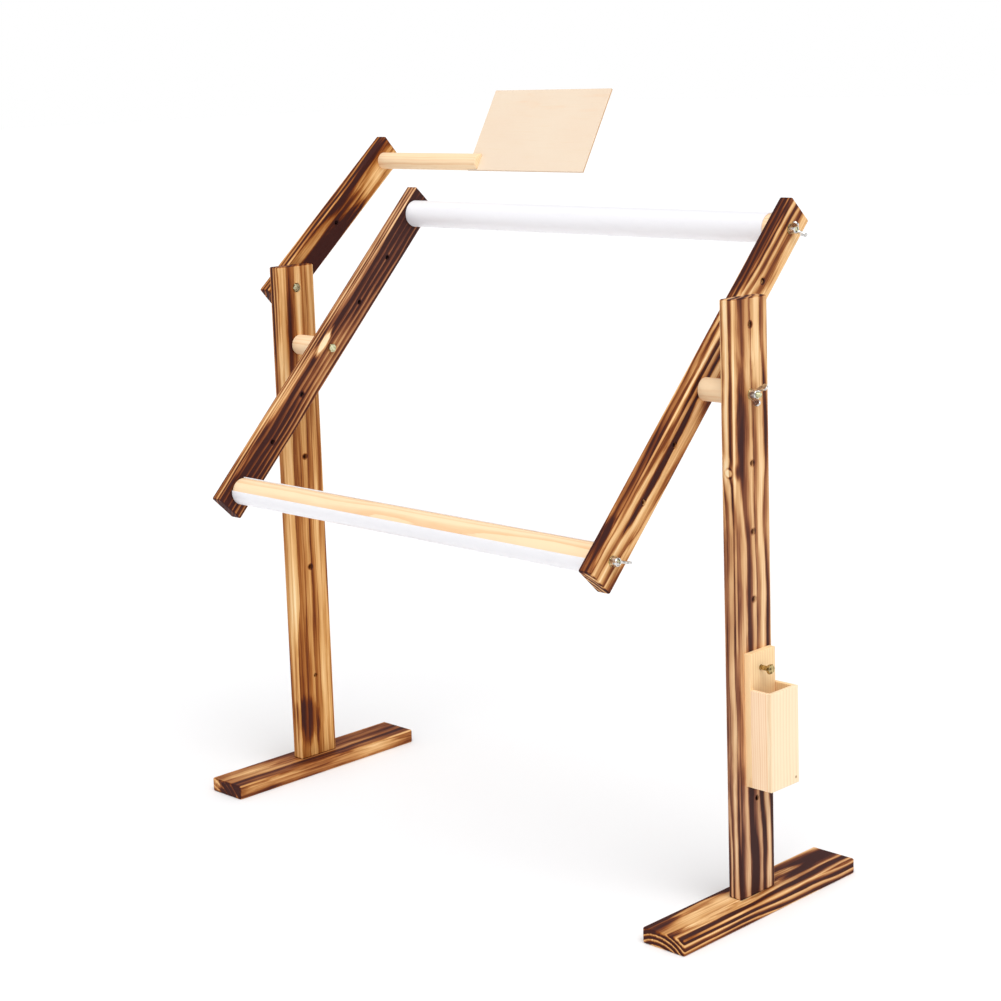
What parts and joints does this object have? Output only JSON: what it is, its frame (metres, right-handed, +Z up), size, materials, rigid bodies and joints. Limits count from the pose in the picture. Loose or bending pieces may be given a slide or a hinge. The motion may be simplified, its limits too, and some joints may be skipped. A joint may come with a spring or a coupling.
{
  "type": "embroidery frame on floor stand",
  "caption": "Wooden floor-standing scroll frame for cross stitch: two footed posts, tilting arms with round bars and clip-on sleeves, pattern holder arm and side tool box.",
  "frame": {"origin": "on the floor under the middle of the whole object's bounding box; the posts stand 20.3 mm in front of it", "axes": "+Z up; +X to the right as the stitcher in front sees it, along the bars; +Y away from the stitcher"},
  "size_m": [0.838, 0.4219, 0.8995],
  "materials": {
    "torched_pine": "flame-darkened open grain, satin",
    "pale_dowel": "bare sanded",
    "white_plastic": "semi-gloss",
    "nickel_steel": "bright plated",
    "zinc_steel": "yellowish zinc plate",
    "plywood_sheet": "bare sanded",
    "pale_pine": "bare planed"
  },
  "bodies": {
    "stand": {"left_foot": "torched_pine", "right_foot": "torched_pine", "left_post": "torched_pine", "right_post": "torched_pine", "foot_screws": "zinc_steel", "left_spacer": "pale_dowel", "right_spacer": "pale_dowel", "left_pivot_washer": "zinc_steel", "right_pivot_washer": "zinc_steel", "pattern_arm_bolt": "zinc_steel", "tool_box_bolt": "zinc_steel", "tool_box_nut": "zinc_steel"},
    "stitching_frame": {"left_arm": "torched_pine", "right_arm": "torched_pine", "left_pivot_bolt": "zinc_steel", "right_pivot_bolt": "zinc_steel", "upper_left_washer": "zinc_steel", "upper_right_washer": "zinc_steel", "lower_left_washer": "zinc_steel", "lower_right_washer": "zinc_steel"},
    "upper_roller": {"upper_bar": "pale_dowel", "upper_clip": "white_plastic", "upper_left_stud": "zinc_steel", "upper_right_stud": "zinc_steel"},
    "lower_roller": {"lower_bar": "pale_dowel", "lower_clip": "white_plastic", "lower_left_stud": "zinc_steel", "lower_right_stud": "zinc_steel"},
    "pattern_holder": {"pattern_arm": "torched_pine", "pattern_arm_washer": "zinc_steel", "pattern_rod_washer": "zinc_steel"},
    "pattern_carrier": {"pattern_rod": "pale_dowel", "pattern_rod_stud": "zinc_steel"},
    "pattern_sheet": {"pattern_board": "plywood_sheet"},
    "tool_box": {"tool_box_back": "pale_pine", "tool_box_front": "pale_pine", "tool_box_near_side": "pale_pine", "tool_box_far_side": "pale_pine", "tool_box_floor": "pale_pine"},
    "left_pivot_nut": {"left_pivot_wing_nut": "nickel_steel"},
    "right_pivot_nut": {"right_pivot_wing_nut": "nickel_steel"},
    "upper_left_nut": {"upper_left_wing_nut": "nickel_steel"},
    "upper_right_nut": {"upper_right_wing_nut": "nickel_steel"},
    "lower_left_nut": {"lower_left_wing_nut": "nickel_steel"},
    "lower_right_nut": {"lower_right_wing_nut": "nickel_steel"},
    "pattern_arm_nut": {"pattern_arm_wing_nut": "nickel_steel"},
    "pattern_rod_nut": {"pattern_rod_wing_nut": "nickel_steel"}
  },
  "joints": [
    {"name": "frame_tilt", "type": "hinge", "parent": "stand", "child": "stitching_frame", "pos_m": [0, -0.02031, 0.579], "axis": [1, 0, 0], "continuous": true},
    {"name": "upper_bar_turn", "type": "hinge", "parent": "stitching_frame", "child": "upper_roller", "pos_m": [0, 0.13599, 0.74085], "axis": [1, 0, 0], "continuous": true},
    {"name": "lower_bar_turn", "type": "hinge", "parent": "stitching_frame", "child": "lower_roller", "pos_m": [0, -0.17661, 0.41715], "axis": [1, 0, 0], "continuous": true},
    {"name": "pattern_arm_tilt", "type": "hinge", "parent": "stand", "child": "pattern_holder", "pos_m": [-0.393, -0.02031, 0.654], "axis": [1, 0, 0], "range_deg": [-15, 95]},
    {"name": "pattern_rod_turn", "type": "hinge", "parent": "pattern_holder", "child": "pattern_carrier", "pos_m": [-0.29, 0.1578, 0.80883], "axis": [1, 0, 0], "range_deg": [-60, 60]},
    {"name": "pattern_board_slide", "type": "slide", "parent": "pattern_carrier", "child": "pattern_sheet", "axis": [1, 0, 0], "range_m": [0, 0.016]},
    {"name": "tool_box_swing", "type": "hinge", "parent": "stand", "child": "tool_box", "pos_m": [0.388, -0.02031, 0.279], "axis": [1, 0, 0], "continuous": true},
    {"name": "left_pivot_nut_spin", "type": "hinge", "parent": "stand", "child": "left_pivot_nut", "pos_m": [-0.3935, -0.02031, 0.579], "axis": [1, 0, 0], "continuous": true},
    {"name": "right_pivot_nut_spin", "type": "hinge", "parent": "stand", "child": "right_pivot_nut", "pos_m": [0.3935, -0.02031, 0.579], "axis": [1, 0, 0], "continuous": true},
    {"name": "upper_left_nut_spin", "type": "hinge", "parent": "stitching_frame", "child": "upper_left_nut", "pos_m": [-0.329, 0.13599, 0.74085], "axis": [1, 0, 0], "continuous": true},
    {"name": "upper_right_nut_spin", "type": "hinge", "parent": "stitching_frame", "child": "upper_right_nut", "pos_m": [0.329, 0.13599, 0.74085], "axis": [1, 0, 0], "continuous": true},
    {"name": "lower_left_nut_spin", "type": "hinge", "parent": "stitching_frame", "child": "lower_left_nut", "pos_m": [-0.329, -0.17661, 0.41715], "axis": [1, 0, 0], "continuous": true},
    {"name": "lower_right_nut_spin", "type": "hinge", "parent": "stitching_frame", "child": "lower_right_nut", "pos_m": [0.329, -0.17661, 0.41715], "axis": [1, 0, 0], "continuous": true},
    {"name": "pattern_arm_nut_spin", "type": "hinge", "parent": "stand", "child": "pattern_arm_nut", "pos_m": [-0.411, -0.02031, 0.654], "axis": [1, 0, 0], "continuous": true},
    {"name": "pattern_rod_nut_spin", "type": "hinge", "parent": "pattern_holder", "child": "pattern_rod_nut", "pos_m": [-0.411, 0.1578, 0.80883], "axis": [1, 0, 0], "continuous": true}
  ]
}
